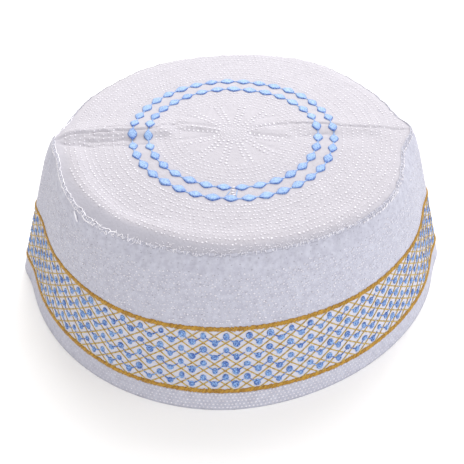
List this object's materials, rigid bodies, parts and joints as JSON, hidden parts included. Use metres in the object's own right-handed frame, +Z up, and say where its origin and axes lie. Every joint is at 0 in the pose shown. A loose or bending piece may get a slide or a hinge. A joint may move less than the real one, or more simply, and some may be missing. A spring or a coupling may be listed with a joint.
{
  "type": "prayer cap",
  "caption": "Soft round prayer cap of quilted white cloth: a flat crown with rings of satin diamonds, and a flared wall with a gold edged embroidered band.",
  "frame": {"origin": "centre of the footprint, on the floor under the hem", "axes": "+Z up; +X along the storage fold, towards its right end as seen from the front; -Y towards the front"},
  "size_m": [0.1938, 0.1876, 0.0724],
  "materials": {
    "quilted_cloth": "white cotton quilted with rows of fine white stitches",
    "gold_thread": "gold embroidery thread in satin stitch",
    "blue_thread": "light blue embroidery thread in satin stitch"
  },
  "bodies": {
    "root": {"crown": "quilted_cloth", "side_wall": "quilted_cloth", "upper_border": "gold_thread", "lower_border": "gold_thread", "outer_diamond_ring": "blue_thread", "inner_diamond_ring": "blue_thread"}
  },
  "joints": []
}
